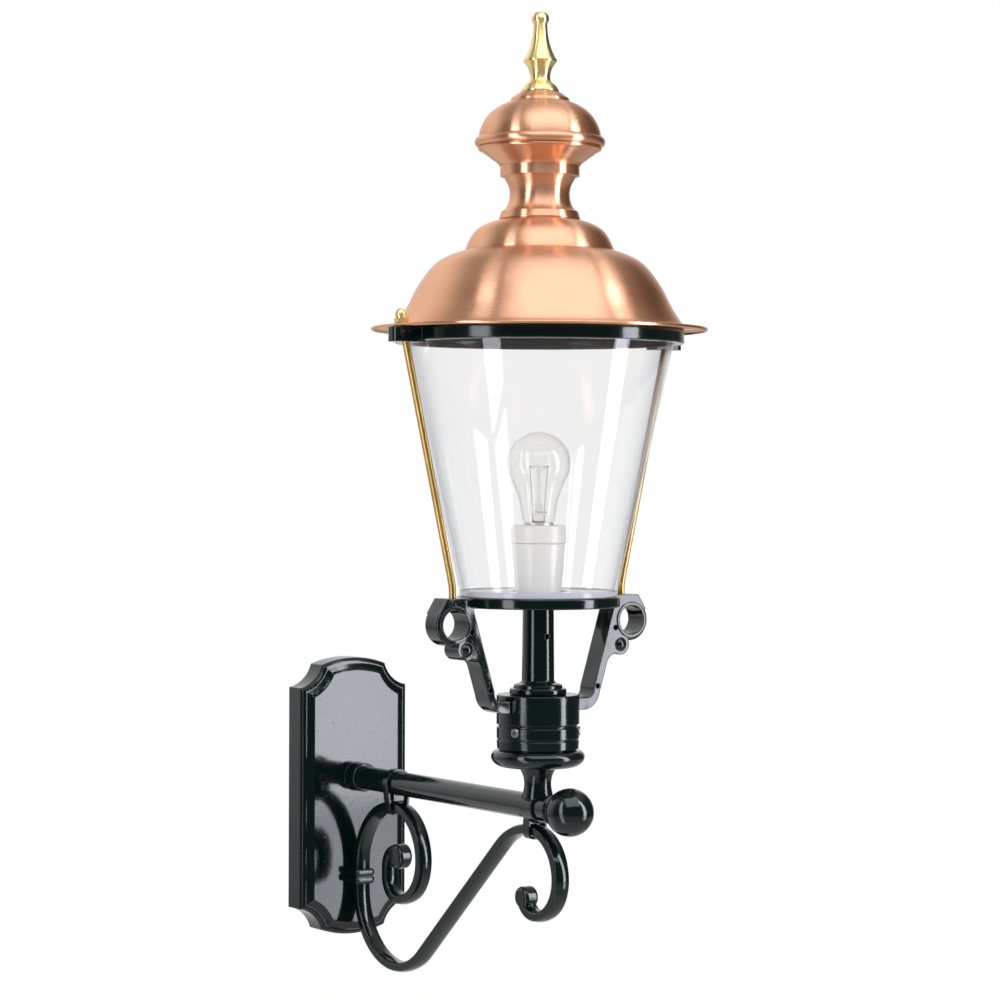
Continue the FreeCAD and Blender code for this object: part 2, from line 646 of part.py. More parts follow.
def socket_cup():
    """Turned cup that drops over the spigot and carries the lantern."""
    r, z = CUP_R, CUP_BOTTOM
    body = turned(
        (SPIGOT_R + RUNNING_FIT, z),
        (r - 2.4, z),
        (r - 2.4, z + 1.0),
        (r - 0.6, z + 1.6),
        (r - 0.2, z + 9.0),
        (r - 1.2, z + 9.4),
        (r - 1.2, z + 10.4),
        (r - 0.2, z + 10.8),
        (r - 0.2, z + 20.6),
        (r - 2.0, z + 21.2),
        (r - 2.0, z + 22.8),
        (r, z + 23.6),
        (r, CUP_TOP - EASE),
        (r - EASE, CUP_TOP),
        (PIPE_BORE_R, CUP_TOP),
        (PIPE_BORE_R, CUP_ROOF),
        (SPIGOT_R + RUNNING_FIT, CUP_ROOF),
    )
    axis = V(0, -REACH, SET_SCREW_Z)
    holes = []
    for angle in SET_SCREW_ANGLES:
        way = set_screw_way(angle)
        holes.append(bar(SET_SCREW_R + FIT, axis + way * (SPIGOT_R - 4), axis + way * (CUP_R + 4)))
    across = V(CUP_R + 4, 0, 0)
    middle = V(0, -REACH, FOOT_SCREW_Z)
    holes.append(bar(FOOT_SCREW_R + FIT, middle - across, middle + across))
    return body.cut(holes)


def set_screws():
    """Three hexagon-socket screws that lock the cup on its spigot."""
    tip = SPIGOT_R + 0.3
    end = CUP_R + SET_SCREW_PROUD
    key, deep = SET_SCREW_KEY
    screws = []
    for angle in SET_SCREW_ANGLES:
        screw = bar(SET_SCREW_R, UP * tip, UP * end)
        rim = [edge for edge in screw.Edges if abs(edge.CenterOfMass.z - end) < 0.01]
        screw = screw.makeChamfer(0.5, rim).cut(hexagon(key, deep, UP * (end - deep)))
        screw.rotate(V(0, 0, 0), V(1, 0, 0), 90)
        screw.rotate(V(0, 0, 0), UP, angle)
        screw.translate(V(0, -REACH, SET_SCREW_Z))
        screws.append(screw)
    return Part.makeCompound(screws)


def across_arm(radius, x, z, width):
    """A round bar along Y through a frog arm, level with the lantern's axis."""
    middle = V(x, -REACH, z)
    half = V(0, width / 2, 0)
    return bar(radius, middle - half, middle + half)


def arm_side():
    """Foot, leg and lug of a frog arm, with the hook that reaches the berry and the loop."""
    def low(x, z):
        return (CUP_R + x, FOOT_BOTTOM + z)

    def high(x, z):
        return (LOOP_X + x, LOOP_Z + z)

    inner_x = CUP_R - CUP_WALL
    lug_x = GALLERY_R - 3.0
    aside, above = LUG_END - LOOP_X, GALLERY_TOP - LOOP_Z
    turn = math.atan2(above, aside) - math.acos(LOOP_R / math.hypot(aside, above))
    touch = high(LOOP_R * math.cos(turn), LOOP_R * math.sin(turn))
    return slab(outline(
        (inner_x, FOOT_BOTTOM),
        low(6.6, 0),
        (low(18.2, 5.4), low(23.2, 15.4)),
        high(-27.0, -37.7),
        (high(-21.4, -31.3), high(-14.0, -29.7)),
        high(-4.0, -16.7),
        touch,
        (LUG_END, GALLERY_TOP),
        (lug_x, GALLERY_TOP),
        (lug_x, GALLERY_BOTTOM),
        (GALLERY_R + 3.7, GALLERY_BOTTOM),
        low(17.0, 19.6),
        (low(14.8, 12.8), low(10.2, FOOT_HEIGHT)),
        (inner_x, FOOT_BOTTOM + FOOT_HEIGHT),
    ), ARM_WIDTH, -REACH)


def right_frog_arm():
    """Cast arm: foot on the cup, leg, berry, loop, and the lug for the tie rod."""
    lip_wide, lip_proud = LOOP_LIP
    loop = across_arm(LOOP_R, LOOP_X, LOOP_Z, ARM_WIDTH)
    rims = [edge for edge in loop.Edges if abs(edge.CenterOfMass.y + REACH) > ARM_WIDTH / 2 - 0.01]
    pieces = [
        loop.makeFillet(LOOP_EDGE_R, rims),
        across_arm(LOOP_HOLE_R + lip_wide, LOOP_X, LOOP_Z, ARM_WIDTH + 2 * lip_proud),
        across_arm(BERRY_R, BERRY_X, BERRY_Z, ARM_WIDTH),
    ]
    button_y = ARM_WIDTH / 2 - BERRY_BUTTON_SINK
    for side in (-button_y, button_y):
        pieces.append(Part.makeSphere(BERRY_BUTTON_R, V(BERRY_X, side - REACH, BERRY_Z)))
    arm = arm_side().fuse(pieces)
    through = 2 * ARM_WIDTH
    rod_foot = V(ROD_FOOT_X, -REACH, ROD_FOOT_Z)
    screw_at = V(0, -REACH, FOOT_SCREW_Z)
    holes = [
        post(CUP_R + FIT, FOOT_BOTTOM - 1, CUP_TOP),
        post(GALLERY_R + FIT, GALLERY_BOTTOM, GALLERY_TOP + 1),
        across_arm(LOOP_HOLE_R, LOOP_X, LOOP_Z, through),
        across_arm(SMALL_HOLE_R, LOOP_X - 17.5, LOOP_Z - 6.7, through),
        across_arm(SMALL_HOLE_R, CUP_R + 21.1, FOOT_BOTTOM + 20.9, through),
        bar(ROD_R + FIT, rod_foot, rod_foot + UP * GALLERY_HEIGHT),
        bar(FOOT_SCREW_R + FIT, screw_at, screw_at + V(FOOT_SCREW_TIP + 1, 0, 0)),
    ]
    return arm.cut(holes).removeSplitter()


def arm_screws():
    """Two cap screws from inside the cup into the feet of the arms."""
    seat = SPIGOT_R - 0.4
    head_r, head_height = FOOT_SCREW_HEAD
    screws = []
    for side in (-1, 1):
        start, neck, tip = (
            V(side * x, -REACH, FOOT_SCREW_Z) for x in (seat - head_height, seat, FOOT_SCREW_TIP)
        )
        head = bar(head_r, start, neck)
        screws.append(head.fuse(bar(FOOT_SCREW_R, neck, tip)).removeSplitter())
    return Part.makeCompound(screws)


def lamp_pipe():
    """Pipe with a stepped foot flange, threaded at the top for the gallery's nut."""
    (wide_r, wide_height), (narrow_r, narrow_height) = PIPE_FLANGE
    step = CUP_TOP + wide_height
    shoulder = step + narrow_height
    pipe = turned(
        (PIPE_THREAD_BORE_R, CUP_TOP),
        (wide_r - 0.6, CUP_TOP),
        (wide_r, CUP_TOP + 1.0),
        (wide_r, step - EASE),
        (wide_r - EASE, step),
        (narrow_r, step),
        (narrow_r, shoulder - 2.2),
        (narrow_r - 1.6, shoulder - 1.0),
        (PIPE_R + 2.0, shoulder),
        (PIPE_R + 0.2, shoulder + 2.0),
        (PIPE_R - 0.5, GALLERY_BOTTOM),
        (PIPE_THREAD_R, GALLERY_BOTTOM),
        (PIPE_THREAD_R, HOLDER_FOOT_Z),
        (PIPE_THREAD_BORE_R, HOLDER_FOOT_Z),
    )
    vent = V(0, -REACH, GALLERY_BOTTOM - PIPE_VENT_DROP)
    return pipe.cut(bar(PIPE_VENT_R, vent, vent + OUT * (PIPE_R + 2)))


def gallery_ring():
    """Cast ring under the cone, with a bridge and hub across its middle."""
    ring = turned(
        (GALLERY_INNER_R, GALLERY_BOTTOM),
        (GALLERY_R - EASE, GALLERY_BOTTOM),
        (GALLERY_R, GALLERY_BOTTOM + EASE),
        (GALLERY_R, GALLERY_TOP - EASE),
        (GALLERY_R - EASE, GALLERY_TOP),
        (GALLERY_INNER_R, GALLERY_TOP),
    )
    reach = GALLERY_INNER_R + 3
    depth = (-REACH - BRIDGE_HALF_WIDTH, -REACH + BRIDGE_HALF_WIDTH)
    bridge = box((-reach, reach), depth, (GALLERY_BOTTOM, BRIDGE_TOP))
    body = ring.fuse([bridge, post(HUB_R, GALLERY_BOTTOM, BRIDGE_TOP)])
    return body.cut(post(PIPE_THREAD_R + FIT, GALLERY_BOTTOM, BRIDGE_TOP)).removeSplitter()


def pipe_nut():
    """Flat hexagon nut that clamps the gallery to the pipe."""
    across, height = PIPE_NUT
    nut = hexagon(across, height, V(0, -REACH, BRIDGE_TOP))
    return nut.cut(post(PIPE_THREAD_R + FIT, BRIDGE_TOP, BRIDGE_TOP + height))


def glass_cone():
    """Clear cone with a thick floor, open in the middle for the lampholder."""
    return turned(
        (CONE_FLOOR_HOLE_R, GALLERY_TOP),
        (CONE_BASE_R - EASE, GALLERY_TOP),
        (CONE_BASE_R, GALLERY_TOP + EASE),
        (CONE_BASE_R, CONE_FLOOR_Z),
        (CONE_TOP_R, CONE_TOP_Z),
        (CONE_TOP_R - CONE_WALL, CONE_TOP_Z),
        (CONE_BASE_R - CONE_WALL, CONE_FLOOR_Z),
        (CONE_FLOOR_HOLE_R, CONE_FLOOR_Z),
    )


def lampholder_body():
    """Glazed body of the lampholder, standing on the pipe's nut."""
    return turned(
        (PIPE_THREAD_BORE_R, HOLDER_FOOT_Z),
        (HOLDER_FOOT_R - 1.0, HOLDER_FOOT_Z),
        (HOLDER_FOOT_R, HOLDER_FOOT_Z + 1.0),
        (HOLDER_SHOULDER_R, HOLDER_JOINT_Z - 1.0),
        (HOLDER_SHOULDER_R - EASE, HOLDER_JOINT_Z),
        (SHELL_R + FIT, HOLDER_JOINT_Z),
        (SHELL_R + FIT, HOLDER_FLOOR_Z),
        (PIPE_THREAD_BORE_R, HOLDER_FLOOR_Z),
    )


def lampholder_collar():
    """Glazed ring screwed on top of the lampholder's body."""
    seat = HOLDER_RIM_Z - 4.0
    return turned(
        (SHELL_R + FIT, HOLDER_JOINT_Z),
        (HOLDER_RIM_R - EASE, HOLDER_JOINT_Z),
        (HOLDER_RIM_R, HOLDER_JOINT_Z + EASE),
        (HOLDER_RIM_R, HOLDER_RIM_Z - 2.0),
        ((HOLDER_RIM_R - 0.6, HOLDER_RIM_Z - 0.6), (HOLDER_RIM_R - 2.0, HOLDER_RIM_Z)),
        (BULB_NECK_R + 3.0, HOLDER_RIM_Z),
        (BULB_NECK_R + 2.2, seat),
        (SHELL_R + FIT, seat),
    )


def lampholder_shell():
    """Brass screw shell with its floor contact, inside the lampholder."""
    floor, edge = HOLDER_FLOOR_Z, HOLDER_RIM_Z - SHELL_SINK
    contact = CAP_BOTTOM_Z - CAP_TIP
    return turned(
        (0, floor),
        (SHELL_R, floor),
        (SHELL_R, edge),
        (SHELL_R - SHELL_WALL, edge),
        (SHELL_R - SHELL_WALL, floor + 1.0),
        (4.0, floor + 1.0),
        (4.0, contact),
        (0, contact),
    )


def bulb_cap():
    """Screw cap of the bulb, with the centre contact at its foot."""
    foot = CAP_BOTTOM_Z
    return turned(
        (0, foot - CAP_TIP),
        (4.5, foot - CAP_TIP),
        (5.0, foot - 2.0),
        (CAP_R - 0.5, foot + 2.0),
        (CAP_R, foot + 3.0),
        (CAP_R, CAP_TOP_Z),
        (CAP_R - 1.0, CAP_TOP_Z),
        (CAP_R - 1.6, foot + 4.0),
        (0, foot + 4.0),
    )


def bulb_glass():
    """Clear pear-shaped envelope, cemented into its cap."""
    def on_ball(radius, turn_deg):
        t = math.radians(turn_deg)
        return (radius * math.cos(t), BULB_CENTRE_Z + radius * math.sin(t))

    def neck(skin):
        swell = BULB_NECK_R - skin
        return [(swell - 0.4, CAP_TOP_Z + 6.0), (swell + 1.0, CAP_TOP_Z + 16.0),
                (swell + 4.4, CAP_TOP_Z + 28.0), on_ball(BULB_R - skin, -32)]

    inner_r = BULB_R - BULB_WALL
    inner_neck = neck(BULB_WALL)[::-1]
    return turned(
        (CAP_R - 0.2, CAP_TOP_Z),
        neck(0),
        (on_ball(BULB_R, 30), (0, BULB_CENTRE_Z + BULB_R)),
        (0, BULB_CENTRE_Z + inner_r),
        (on_ball(inner_r, 30), inner_neck[0]),
        inner_neck[1:] + [(CAP_R - 1.0, CAP_TOP_Z)],
    )


def bulb_stem():
    """Glass stem inside the bulb: flare, pinch and button."""
    foot = CAP_BOTTOM_Z + 4.0
    return turned(
        (0, foot),
        (STEM_R, foot),
        (STEM_R, CAP_TOP_Z),
        [(STEM_R - 1.4, CAP_TOP_Z + 6.0), (STEM_R - 2.6, CAP_TOP_Z + 14.0)],
        (2.0, CAP_TOP_Z + 17.0),
        (1.6, STEM_TOP_Z - 4.6),
        [(2.6, STEM_TOP_Z - 2.2), (0, STEM_TOP_Z)],
    )


def filament():
    """Two lead wires and the coiled filament between them."""
    level = STEM_TOP_Z + 1.4
    tops = [V(side * LEAD_SPREAD, -REACH, level) for side in (-1, 1)]
    pieces = []
    for side, top in zip((-1, 1), tops):
        pieces.append(bar(LEAD_R, V(side * (STEM_R - 2.6), -REACH, CAP_TOP_Z + 12.0), top))
        pieces.append(Part.makeSphere(2 * LEAD_R, top))
    bend = Part.Arc(tops[0], V(0, -REACH - 4.0, level + 1.1), tops[1]).toShape()
    ring = Part.Wire(Part.makeCircle(FILAMENT_R, tops[0], bend.tangentAt(bend.FirstParameter)))
    pieces.append(Part.Wire(bend).makePipeShell([ring], True, False))
    return pieces[0].fuse(pieces[1:]).cut(bulb_stem())


def rod_bend():
    """Where the right tie rod turns from its upright foot."""
    return V(ROD_FOOT_X, -REACH, ROD_BEND_Z)


def rod_seat():
    """Where the right tie rod leaves the hood's flange."""
    return V(ROD_TOP_X, -REACH, TOP_RING_TOP + SHEET)


def rod_way():
    """Direction of the right tie rod beside the cone."""
    return (rod_seat() - rod_bend()).normalize()


def rod_holes(reach):
    """The two holes along the tie rods, a reach to either side of the hood's flange."""
    hole = bar(ROD_R + FIT, rod_seat() - rod_way() * reach, rod_seat() + rod_way() * reach)
    return [hole, mirrored(hole)]


def top_ring():
    """Cast ring that caps the cone and carries the hood, with two rod lugs."""
    seat_r = CONE_TOP_R + TOP_RING_SLACK
    ring = turned(
        (seat_r - 0.6, TOP_RING_BOTTOM),
        (TOP_RING_R - EASE, TOP_RING_BOTTOM),
        (TOP_RING_R, TOP_RING_BOTTOM + EASE),
        (TOP_RING_R, TOP_RING_TOP - EASE),
        (TOP_RING_R - EASE, TOP_RING_TOP),
        (TOP_RING_INNER_R, TOP_RING_TOP),
        (TOP_RING_INNER_R, CONE_TOP_Z),
        (seat_r, CONE_TOP_Z),
    )
    depth = (-REACH - TOP_LUG_HALF_WIDTH, -REACH + TOP_LUG_HALF_WIDTH)
    lug = box((TOP_RING_R - 4, TOP_LUG_END), depth, (TOP_RING_BOTTOM - TOP_LUG_DROP, TOP_RING_TOP))
    ends = [
        edge for edge in lug.Edges
        if edge.CenterOfMass.x > TOP_LUG_END - 0.1 and abs(edge.tangentAt(edge.FirstParameter).z) > 0.9
    ]
    lug = lug.makeFillet(TOP_LUG_CORNER_R, ends)
    body = ring.fuse([lug, mirrored(lug)])
    inner_r = RIM_R - 3 * RIM_ROLL_R
    low = TOP_RING_TOP - RIM_ROLL_R - 0.4
    rim_way = post(TOP_LUG_END + 10, low, TOP_RING_TOP + 1).cut(post(inner_r, low, TOP_RING_TOP + 1))
    holes = rod_holes(2 * (TOP_RING_TOP - TOP_RING_BOTTOM))
    return body.cut(holes + [rim_way]).removeSplitter()


def right_tie_rod():
    """Brass rod: upright foot, then straight beside the cone to its threaded top."""
    foot = V(ROD_FOOT_X, -REACH, ROD_FOOT_Z)
    corner, along = rod_bend(), rod_way()
    lean = along.getAngle(UP)
    cut = ROD_BEND_R * math.tan(lean / 2)
    sag = ROD_BEND_R / math.cos(lean / 2) - ROD_BEND_R
    start, past = corner - UP * cut, corner + along * cut
    middle = corner + (along - UP).normalize() * sag
    path = Part.Wire([
        Part.makeLine(foot, start),
        Part.Arc(start, middle, past).toShape(),
        Part.makeLine(past, rod_seat() + along * ROD_PROUD),
    ])
    ring = Part.Wire(Part.makeCircle(ROD_R, foot, UP))
    return path.makePipeShell([ring], True, False)


def cap_nuts():
    """Two acorn nuts that hold the hood down on the tie rods, their seats cut to the flange."""
    spare = NUT_ACROSS_CORNERS / 4
    top = UP * NUT_HEIGHT
    crown = top + UP * NUT_NECK
    nut = hexagon(NUT_ACROSS_CORNERS, NUT_HEIGHT + spare, UP * -spare)
    nut = nut.fuse([bar(NUT_DOME_R, top, crown), Part.makeSphere(NUT_DOME_R, crown)])
    nut = nut.cut(bar(ROD_R + FIT, UP * -spare, UP * (ROD_PROUD + FIT)))
    nut.rotate(V(0, 0, 0), V(0, 1, 0), math.degrees(rod_way().getAngle(UP)))
    nut.translate(rod_seat())
    seat = rod_seat()
    reach = NUT_ACROSS_CORNERS
    below = box(
        (seat.x - reach, seat.x + reach), (seat.y - reach, seat.y + reach), (seat.z - reach, seat.z)
    )
    nut = nut.cut(below).removeSplitter()
    return Part.makeCompound([nut, mirrored(nut)])


def hood_dome():
    """Spun copper dome: rolled rim, flat flange, dome, and the upper tier."""
    low, high = TOP_RING_TOP, TOP_RING_TOP + SHEET
    roll = RIM_R - RIM_ROLL_R
    inner_r = CONE_TOP_R + 0.5
    hole_r = STUD_R + FIT
    foot = (DOME_FOOT_R, high)
    step = (TIER_R - 3.6, TIER_Z + 3.6)
    side = drawn(foot, (TIER_R, TIER_Z), DOME_CURVE)
    tier = drawn(step, (NECK_FOOT_R, NECK_SEAT_Z), TIER_CURVE)
    dome = turned(
        (inner_r, low),
        (roll - 1.2, low),
        (roll, high - 2 * RIM_ROLL_R),
        ((RIM_R, high - RIM_ROLL_R), (roll, high)),
        foot,
        side,
        (TIER_R - 2.8, TIER_Z + 1.0),
        step,
        tier,
        (hole_r, NECK_SEAT_Z),
        (hole_r, NECK_SEAT_Z - SHEET),
        (NECK_FOOT_R, NECK_SEAT_Z - SHEET),
        under([step] + tier, SHEET)[1:],
        (TIER_R - 4.0, TIER_Z - 0.2),
        under([foot] + side, SHEET)[1:-1],
        (inner_r, high),
    )
    return dome.cut(rod_holes(3 * SHEET))


def hood_neck():
    """Spun waist between the dome and the crown: base ring, waist, collar band."""
    low, high = NECK_SEAT_Z, BOWL_SEAT_Z
    r = NECK_FOOT_R
    hole_r = STUD_R + FIT
    foot = (r - 1.2, low + 7.4)
    waist = (NECK_WAIST_R, (low + high) / 2 - 2.0)
    throat = (r - 3.4, high - NECK_BAND)
    band_r = r - 0.2
    curve = drawn(foot, waist, WAIST_LOWER_CURVE) + drawn(waist, throat, WAIST_UPPER_CURVE)
    return turned(
        (r - 6.0, low),
        (r, low),
        ((r + 0.6, low + 1.2), (r + 0.2, low + 2.6)),
        foot,
        curve,
        (band_r - 0.6, throat[1]),
        ((band_r - 0.1, throat[1] + 0.3), (band_r, throat[1] + 0.9)),
        (band_r, high),
        (hole_r, high),
        (hole_r, high - SHEET),
        (band_r - SHEET, high - SHEET),
        (band_r - SHEET, throat[1] + SHEET),
        under([foot] + curve, SHEET)[1:-1],
        (r - 6.0, low + 7.0),
    )


def crown_bowl():
    """Spun lower half of the crown, flaring out to the lid's seam."""
    low = BOWL_SEAT_Z
    hole_r = STUD_R + FIT
    foot = (NECK_FOOT_R + 0.4, low)
    brim_z = LID_SEAT_Z - 9.2
    flare = drawn(foot, (SEAM_R - 1.4, brim_z), BOWL_CURVE)
    inner_r = SEAM_R - SHEET
    return turned(
        (hole_r, low),
        foot,
        flare,
        ((SEAM_R + 0.9, brim_z + 1.7), (SEAM_R, brim_z + 3.6)),
        (SEAM_R, LID_SEAT_Z),
        (inner_r, LID_SEAT_Z),
        (inner_r, brim_z + 1.2),
        under([foot] + flare, SHEET)[1:-1] + [(NECK_FOOT_R, low + SHEET)],
        (hole_r, low + SHEET),
    )


def crown_lid():
    """Spun upper half of the crown, with the bead that wraps the seam."""
    seat = LID_SEAT_Z
    seam_r = SEAM_R + FIT
    hole_r = STUD_R + FIT
    foot = (CROWN_R - 2.4, seat + 3.4)
    side = drawn(foot, (LID_TIER_R, LID_TIER_Z), LID_CURVE)
    step = (LID_TIER_R - 2.2, LID_TIER_Z + 3.2)
    tier = drawn(step, (FINIAL_FOOT_R - 0.2, FINIAL_SEAT_Z), LID_TOP_CURVE)
    return turned(
        (seam_r, seat - 5.2),
        (CROWN_R - 0.6, seat - 5.2),
        ((CROWN_R + 1.3, seat - 1.4), (CROWN_R - 0.4, seat + 2.2)),
        [(CROWN_R - 1.5, seat + 2.7), foot],
        side,
        (LID_TIER_R - 1.6, LID_TIER_Z + 1.0),
        step,
        tier,
        (hole_r, FINIAL_SEAT_Z),
        (hole_r, FINIAL_SEAT_Z - SHEET),
        (FINIAL_FOOT_R - 0.8, FINIAL_SEAT_Z - SHEET),
        under([step] + tier, SHEET)[1:],
        (LID_TIER_R - 2.8, LID_TIER_Z - 0.4),
        under([foot] + side, SHEET)[1:-1],
        (CROWN_R - 3.2, seat),
        (seam_r, seat),
    )


def finial():
    """Turned brass finial with a tapped foot."""
    z = FINIAL_SEAT_Z
    foot_r = FINIAL_FOOT_R
    hole_r = STUD_R + FIT
    top = z + FINIAL_HEIGHT
    tapped = z + STUD_GRIP + 2.0
    return turned(
        (hole_r, z),
        (foot_r, z),
        (foot_r, z + 1.0),
        [(foot_r - 1.3, z + 3.4), (foot_r - 3.4, z + 6.1), (10.6, z + 8.8), (9.2, z + 12.0)],
        [(9.2, z + 15.2), (10.0, z + 18.6), (11.4, z + 22.2)],
        (14.3, z + 26.2),
        ((15.2, z + 27.7), (14.4, z + 29.6)),
        [(11.8, z + 34.8), (9.3, z + 41.1), (7.5, z + 48.4), (6.5, z + 56.2), (6.3, z + 61.2)],
        ((7.9, top - 6.1), (5.8, top - 1.5)),
        [(3.1, top - 0.4), (0, top)],
        (0, tapped),
        (hole_r, tapped),
    )


def hood_stud():
    """Threaded rod from the finial down through the stacked hood."""
    low = NECK_SEAT_Z - SHEET - HOOD_WASHER[1] - HOOD_NUT[1] - 3.5
    return post(STUD_R, low, FINIAL_SEAT_Z + STUD_GRIP)


def hood_nut():
    """Nut and dished washer that draw the hood together from inside the dome."""
    radius, thick = HOOD_WASHER
    across, height = HOOD_NUT
    seat = NECK_SEAT_Z - SHEET
    hole_r = STUD_R + FIT
    washer = turned(
        (hole_r, seat - thick),
        (radius - 2.0, seat - thick),
        (radius, seat),
        (hole_r, seat),
    )
    low = seat - thick - height
    nut = hexagon(across, height, V(0, -REACH, low)).cut(post(hole_r, low, seat))
    return washer.fuse(nut).removeSplitter()


os.makedirs("parts", exist_ok=True)
right_arm = right_frog_arm()
right_rod = right_tie_rod()
NODES = {
    "wall_plate": wall_plate(),
    "arm_tube": arm_tube(),
    "bracket_tee": bracket_tee(),
    "ball_knob": ball_knob(),
    "scroll": scroll(),
    "scroll_collar": scroll_collar(),
    "rear_strap": rear_strap(),
    "strap_packer": strap_packer(),
    "socket_cup": socket_cup(),
    "set_screws": set_screws(),
    "right_frog_arm": right_arm,
    "left_frog_arm": mirrored(right_arm),
    "arm_screws": arm_screws(),
    "lamp_pipe": lamp_pipe(),
    "gallery_ring": gallery_ring(),
    "pipe_nut": pipe_nut(),
    "glass_cone": glass_cone(),
    "lampholder_body": lampholder_body(),
    "lampholder_collar": lampholder_collar(),
    "lampholder_shell": lampholder_shell(),
    "bulb_cap": bulb_cap(),
    "bulb_glass": bulb_glass(),
    "bulb_stem": bulb_stem(),
    "filament": filament(),
    "top_ring": top_ring(),
    "right_tie_rod": right_rod,
    "left_tie_rod": mirrored(right_rod),
    "cap_nuts": cap_nuts(),
    "hood_dome": hood_dome(),
    "hood_neck": hood_neck(),
    "crown_bowl": crown_bowl(),
    "crown_lid": crown_lid(),
    "finial": finial(),
    "hood_stud": hood_stud(),
    "hood_nut": hood_nut(),
}
for node, shape in NODES.items():
    shape.exportStep("parts/" + node + ".step")
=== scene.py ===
import math

import bmesh
import bpy
from mathutils import Matrix, Vector


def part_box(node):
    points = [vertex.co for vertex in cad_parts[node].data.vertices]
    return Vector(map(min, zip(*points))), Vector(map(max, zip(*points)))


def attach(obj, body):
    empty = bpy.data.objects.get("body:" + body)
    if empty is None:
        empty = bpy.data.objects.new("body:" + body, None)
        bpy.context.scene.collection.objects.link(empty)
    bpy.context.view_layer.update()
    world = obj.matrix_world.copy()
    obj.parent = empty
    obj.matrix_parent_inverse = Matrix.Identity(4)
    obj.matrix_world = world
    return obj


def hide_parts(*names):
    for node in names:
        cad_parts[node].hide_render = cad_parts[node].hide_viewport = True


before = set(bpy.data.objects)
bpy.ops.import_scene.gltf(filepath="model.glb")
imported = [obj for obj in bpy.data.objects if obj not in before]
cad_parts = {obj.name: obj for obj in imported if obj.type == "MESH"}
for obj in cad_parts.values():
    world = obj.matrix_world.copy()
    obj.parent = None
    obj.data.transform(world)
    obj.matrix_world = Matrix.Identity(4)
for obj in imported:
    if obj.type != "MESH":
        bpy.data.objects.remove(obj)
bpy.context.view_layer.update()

# Wall plate: one aluminium casting, hollow behind, with two bevels round a flat field.
# It is powder coated in a glossy green that is nearly black, and two screws hold it to the wall.


class Tone:
    """One socket of a finish. Sums of tones add Math nodes to the same finish."""

    def __init__(self, tree, socket=None):
        self.tree = tree
        self.socket = socket

    def node(self, kind, settings=None, sockets=None, out=0):
        """Adds a node: its settings come first, then the values or links of its sockets."""
        made = self.tree.nodes.new("ShaderNode" + kind)
        for key, value in (settings or {}).items():
            setattr(made, key, value)
        for key, value in (sockets or {}).items():
            if isinstance(value, Tone):
                self.tree.links.new(value.socket, made.inputs[key])
            else:
                made.inputs[key].default_value = value
        return Tone(self.tree, made.outputs[out] if made.outputs else None)

    def math(self, operation, first, second):
        return self.node("Math", {"operation": operation}, {0: first, 1: second})

    def __add__(self, other):
        return self.math("ADD", self, other)

    def __radd__(self, other):
        return self.math("ADD", other, self)

    def __sub__(self, other):
        return self.math("SUBTRACT", self, other)

    def __rsub__(self, other):
        return self.math("SUBTRACT", other, self)

    def __mul__(self, other):
        return self.math("MULTIPLY", self, other)

    def __rmul__(self, other):
        return self.math("MULTIPLY", other, self)

    def __truediv__(self, other):
        return self.math("DIVIDE", self, other)

    def __rtruediv__(self, other):
        return self.math("DIVIDE", other, self)

    def __pow__(self, other):
        return self.math("POWER", self, other)


def mixed(factor, first, second):
    """Two colours, mixed by a tone."""
    colours = {0: factor, 6: (*first, 1.0), 7: (*second, 1.0)}
    return factor.node("Mix", {"data_type": "RGBA"}, colours, out=2)


def ramped(tone, low, high, at_low=0.0, at_high=1.0):
    """A tone between two limits, spread over new values and held beyond them."""
    limits = {0: tone, 1: low, 2: high, 3: at_low, 4: at_high}
    return tone.node("MapRange", {"clamp": True}, limits)


def new_finish(name):
    """An empty finish, and the tone that its nodes grow from."""
    finish = bpy.data.materials.new(name)
    finish.use_nodes = True
    finish.node_tree.nodes.clear()
    return finish, Tone(finish.node_tree)


def shown_by(tone, shader):
    """Makes a shader the finish's surface."""
    tone.node("OutputMaterial", sockets={"Surface": shader})


def place_on(tone):
    """Position on the piece, in metres."""
    return tone.node("TexCoord", out="Object")


def noise(tone, place, scale, detail):
    """Soft noise, from 0 to 1."""
    return tone.node("TexNoise", sockets={"Vector": place, "Scale": scale, "Detail": detail})


def put_on(finish, *names):
    """Gives a finish to nodes of the frame."""
    for name in names:
        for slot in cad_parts[name].material_slots:
            slot.material = finish


ENAMEL_DARK = (0.0011, 0.0058, 0.0052)
ENAMEL_LIGHT = (0.0020, 0.0090, 0.0082)
ENAMEL_EDGE_R = 0.0014     # rounding of the casting's edges
ENAMEL_CLOUD = 9.0         # patches of colour and gloss, per metre
ENAMEL_WAVE = 38.0         # slow unevenness of hand-finished castings, per metre
ENAMEL_PEEL = 240.0        # ripples of the coat, per metre
ENAMEL_SPECK = 420.0       # specks of dust in the coat, per metre
ENAMEL_GRAIN = 1500.0      # grain of the sand casting, per metre
SPECK_FROM, SPECK_FULL = 0.74, 0.80
RIPPLE_STRENGTH = 0.085
RIPPLE_DEPTH = 0.0004


